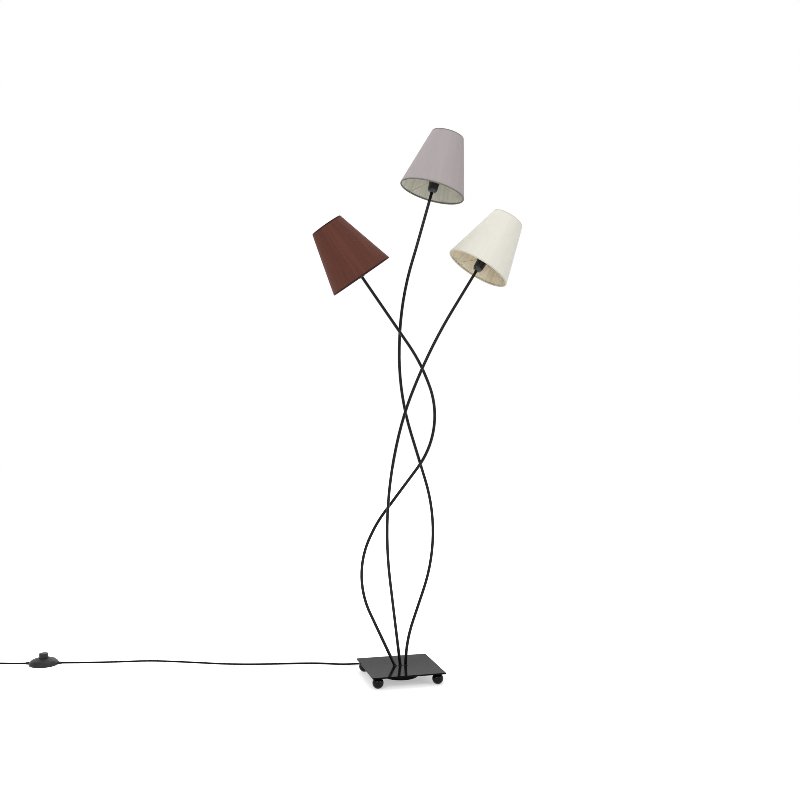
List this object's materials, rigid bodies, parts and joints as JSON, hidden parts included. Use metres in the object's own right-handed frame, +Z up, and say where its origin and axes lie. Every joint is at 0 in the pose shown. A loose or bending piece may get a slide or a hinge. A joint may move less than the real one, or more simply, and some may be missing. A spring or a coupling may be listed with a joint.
{
  "type": "tree floor lamp",
  "caption": "Floor lamp with bent tubular arms that wind past each other, tilted cone fabric shades, a square plate on ball feet and a cord with a foot switch.",
  "frame": {"origin": "on the floor, under the middle of the base plate", "axes": "+Z up, +X along the front edge of the base plate, -Y to the front; the cord leaves at the back and runs to -X"},
  "size_m": [1.5603, 0.569, 1.494],
  "materials": {
    "plate_enamel": "satin black powder coat",
    "foot_gloss": "glossy black",
    "zinc_steel": "zinc plated",
    "dish_enamel": "satin black",
    "terminal_plastic": "natural polyamide",
    "holder_plastic": "satin black",
    "arm_enamel": "satin black powder coat",
    "lead_jacket": "smooth jacket",
    "contact_brass": "pressed brass",
    "bulb_metal": "bright",
    "bulb_glass": "frosted",
    "shade_wire": "white lacquer",
    "shade_brown": "reddish brown satin weave on a stiff lining",
    "shade_cream": "cream weave on a stiff lining",
    "shade_grey": "warm grey weave on a stiff white lining",
    "switch_plastic": "fine satin black",
    "button_plastic": "satin black",
    "spring_steel": "drawn wire",
    "cord_jacket": "smooth black jacket",
    "tie_plastic": "smooth black",
    "plug_rubber": "fine matte black",
    "pin_nickel": "nickel plated"
  },
  "bodies": {
    "base": {"base_plate": "plate_enamel", "foot_front_left": "foot_gloss", "foot_front_right": "foot_gloss", "foot_back_left": "foot_gloss", "foot_back_right": "foot_gloss", "foot_studs": "zinc_steel", "wiring_dish": "dish_enamel", "dish_posts": "zinc_steel", "dish_screws": "zinc_steel", "terminal_block": "terminal_plastic", "terminal_screws": "zinc_steel", "cord_grip": "switch_plastic", "cord_relief": "cord_jacket", "switch_base": "switch_plastic", "switch_cover": "switch_plastic", "switch_spring": "spring_steel", "switch_contacts": "terminal_plastic", "switch_screws": "zinc_steel", "switch_reliefs": "cord_jacket", "cord_lamp": "cord_jacket", "cord_supply": "cord_jacket", "cord_coil": "cord_jacket", "cord_tail": "cord_jacket", "cord_tie": "tie_plastic", "plug_body": "plug_rubber", "plug_pins": "pin_nickel", "arm_brown": "arm_enamel", "lead_brown": "lead_jacket", "holder_cap_brown": "holder_plastic", "holder_body_brown": "holder_plastic", "shade_ring_brown": "holder_plastic", "holder_contacts_brown": "contact_brass", "bulb_cap_brown": "bulb_metal", "bulb_glass_brown": "bulb_glass", "arm_cream": "arm_enamel", "lead_cream": "lead_jacket", "holder_cap_cream": "holder_plastic", "holder_body_cream": "holder_plastic", "shade_ring_cream": "holder_plastic", "holder_contacts_cream": "contact_brass", "bulb_cap_cream": "bulb_metal", "bulb_glass_cream": "bulb_glass", "arm_grey": "arm_enamel", "lead_grey": "lead_jacket", "holder_cap_grey": "holder_plastic", "holder_body_grey": "holder_plastic", "shade_ring_grey": "holder_plastic", "holder_contacts_grey": "contact_brass", "bulb_cap_grey": "bulb_metal", "bulb_glass_grey": "bulb_glass"},
    "button": {"switch_button": "button_plastic"},
    "brown_shade": {"shade_brown": "shade_brown", "shade_frame_brown": "shade_wire", "shade_top_ring_brown": "shade_wire"},
    "cream_shade": {"shade_cream": "shade_cream", "shade_frame_cream": "shade_wire", "shade_top_ring_cream": "shade_wire"},
    "grey_shade": {"shade_grey": "shade_grey", "shade_frame_grey": "shade_wire", "shade_top_ring_grey": "shade_wire"}
  },
  "joints": [
    {"name": "button_press", "type": "slide", "parent": "base", "child": "button", "axis": [0, 0, -1], "range_m": [0, 0.003], "stiffness_N_per_m": 800, "deforming": ["switch_spring"]},
    {"name": "brown_shade_turn", "type": "hinge", "parent": "base", "child": "brown_shade", "pos_m": [-0.12774, -0.01165, 1.11326], "axis": [-0.5741, 0.0436, 0.8176], "continuous": true},
    {"name": "cream_shade_turn", "type": "hinge", "parent": "base", "child": "cream_shade", "pos_m": [0.22051, -0.042, 1.13651], "axis": [0.5318, 0, 0.8468], "continuous": true},
    {"name": "grey_shade_turn", "type": "hinge", "parent": "base", "child": "grey_shade", "pos_m": [0.0938, -0.01388, 1.3526], "axis": [0.2849, 0.0364, 0.9579], "continuous": true}
  ]
}
